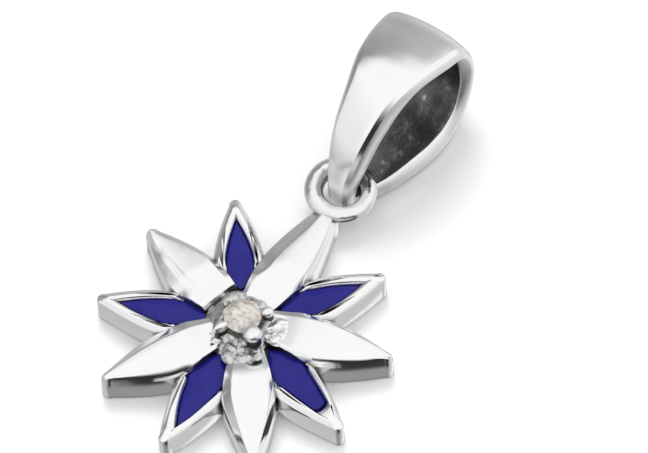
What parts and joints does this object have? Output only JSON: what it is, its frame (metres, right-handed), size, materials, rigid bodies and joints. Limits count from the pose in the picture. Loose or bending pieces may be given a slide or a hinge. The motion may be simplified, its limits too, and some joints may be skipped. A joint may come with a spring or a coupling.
{
  "type": "star pendant",
  "caption": "Star-shaped pendant with plain and enamelled petals, a claw-set stone in the middle and a tapered bail, lying face up.",
  "frame": {"origin": "middle of the star's flat back", "axes": "+Z out of the star's face, which lies up, and +Y along the pendant from the star to its bail"},
  "size_m": [0.0135, 0.0239, 0.0072],
  "materials": {
    "silver": "polished",
    "enamel": "gloss",
    "stone": "polished"
  },
  "bodies": {
    "root": {"star_body": "silver", "enamel_1": "enamel", "enamel_2": "enamel", "enamel_3": "enamel", "enamel_4": "enamel", "enamel_5": "enamel", "stone": "stone", "bail": "silver"}
  },
  "joints": []
}
